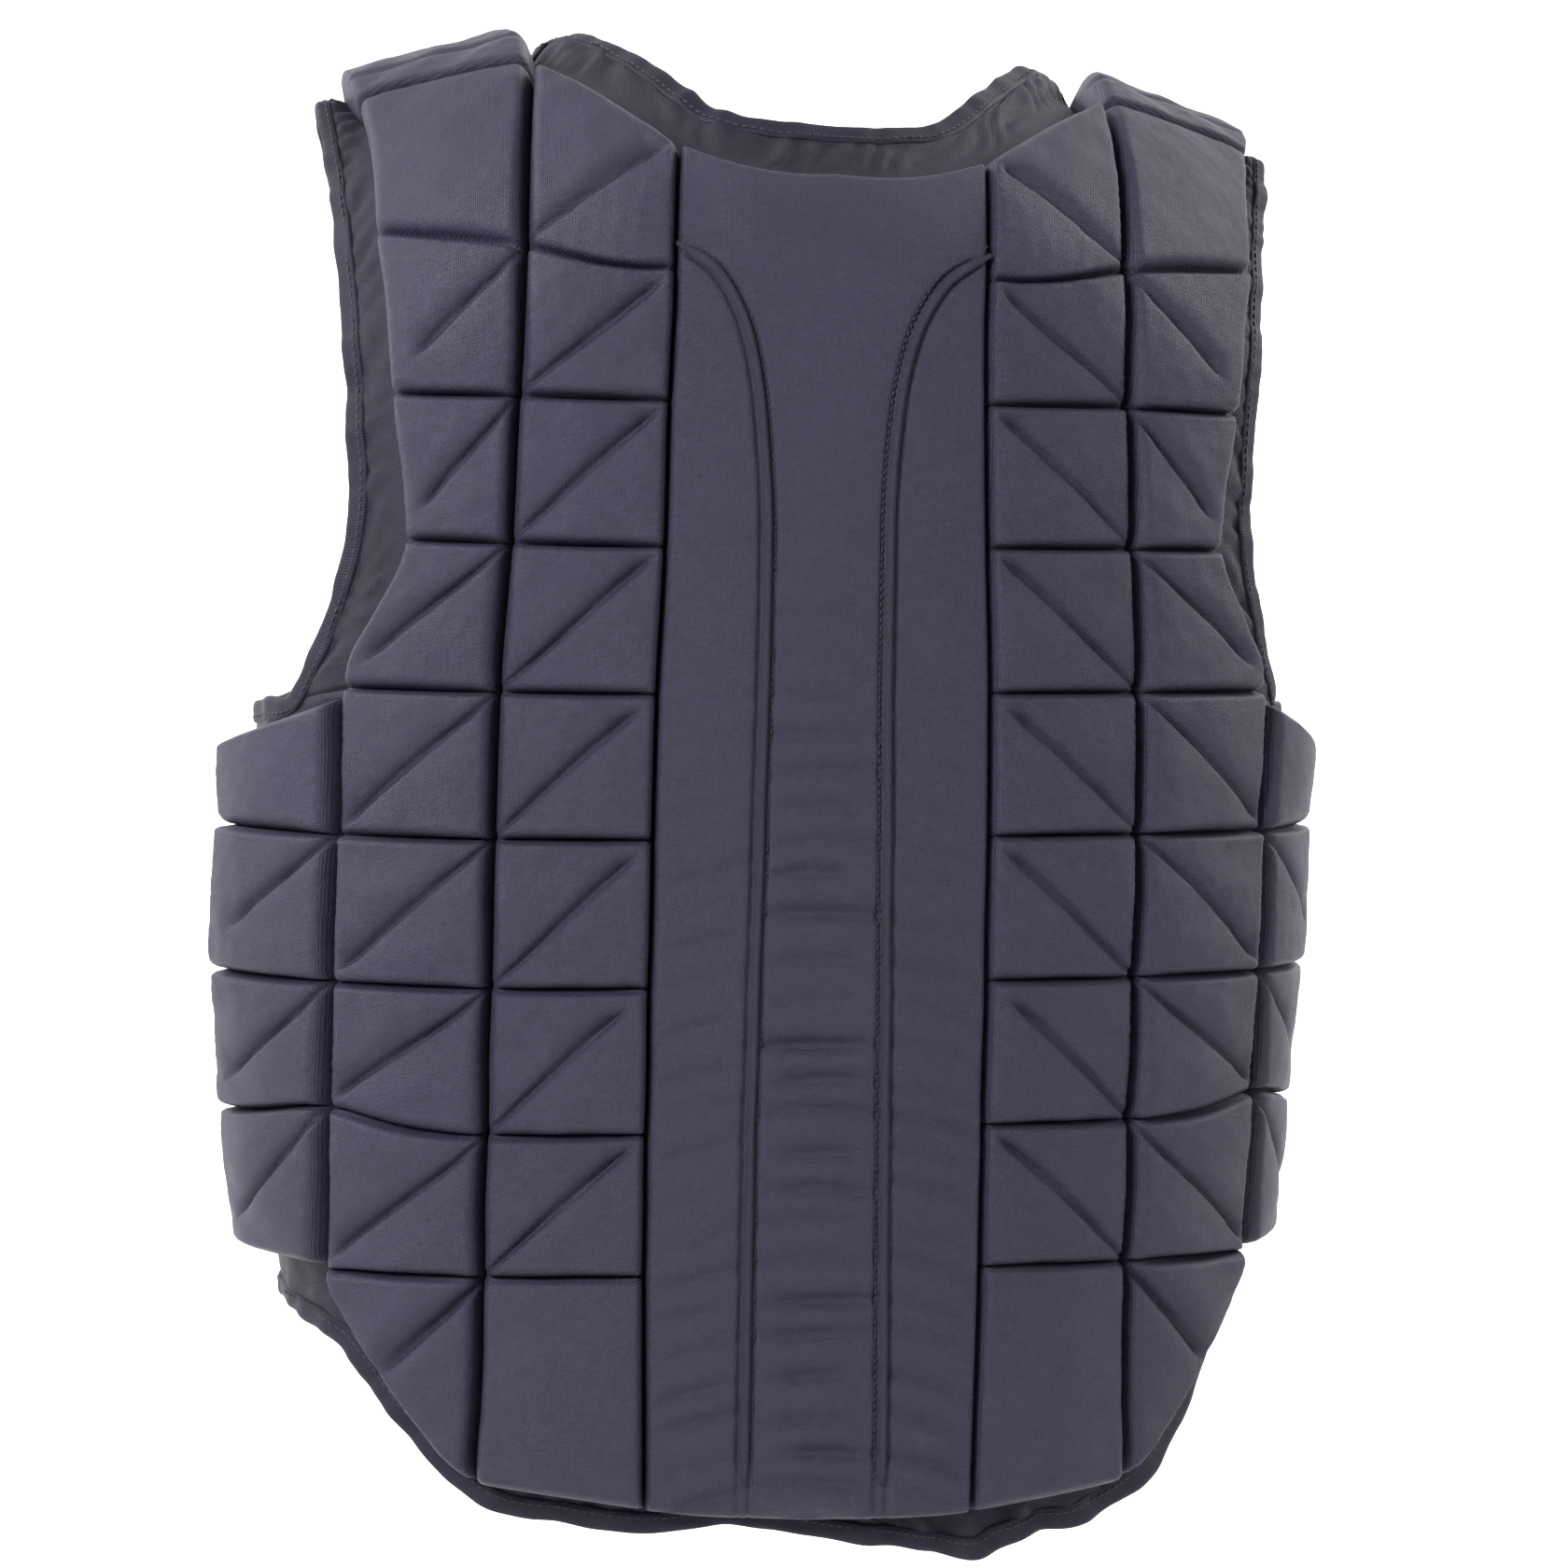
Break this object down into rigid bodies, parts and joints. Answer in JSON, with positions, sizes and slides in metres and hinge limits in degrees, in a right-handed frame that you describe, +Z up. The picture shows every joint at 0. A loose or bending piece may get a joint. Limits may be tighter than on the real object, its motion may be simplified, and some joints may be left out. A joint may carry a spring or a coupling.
{
  "type": "equestrian body protector",
  "caption": "Sleeveless riding waistcoat of woven fabric over foam blocks, with a long spine panel, raised piping, folded shoulder pads and bound neck, armholes and hem.",
  "frame": {"origin": "on the midline, halfway between back and front, at the height of the inner face of the shoulder strap at the middle of its width, where the shoulders carry the garment", "axes": "+Z up, +Y towards the wearer's front, +X to the wearer's right as seen from behind; the back panel faces -Y"},
  "size_m": [0.4328, 0.2532, 0.5857],
  "materials": {
    "panel_fabric": "fine woven, slight sheen",
    "shell_fabric": "fine woven, matte",
    "binding_tape": "ribbed tape, matte",
    "piping_tape": "fine woven, matte"
  },
  "bodies": {
    "root": {"back_shell": "shell_fabric", "front_shell_right": "shell_fabric", "front_shell_left": "shell_fabric", "back_spine_panel": "panel_fabric", "spine_piping_right": "piping_tape", "spine_piping_left": "piping_tape", "shoulder_pad_right": "panel_fabric", "shoulder_pad_left": "panel_fabric", "front_placket": "shell_fabric", "neck_binding": "binding_tape", "armhole_binding_right": "binding_tape", "armhole_binding_left": "binding_tape", "hem_binding": "binding_tape", "back_right_inner_column": "panel_fabric", "back_right_outer_column": "panel_fabric", "back_right_side_column": "panel_fabric", "back_left_inner_column": "panel_fabric", "back_left_outer_column": "panel_fabric", "back_left_side_column": "panel_fabric", "front_right_inner_column": "panel_fabric", "front_right_outer_column": "panel_fabric", "front_right_side_column": "panel_fabric", "front_left_inner_column": "panel_fabric", "front_left_outer_column": "panel_fabric", "front_left_side_column": "panel_fabric"}
  },
  "joints": []
}
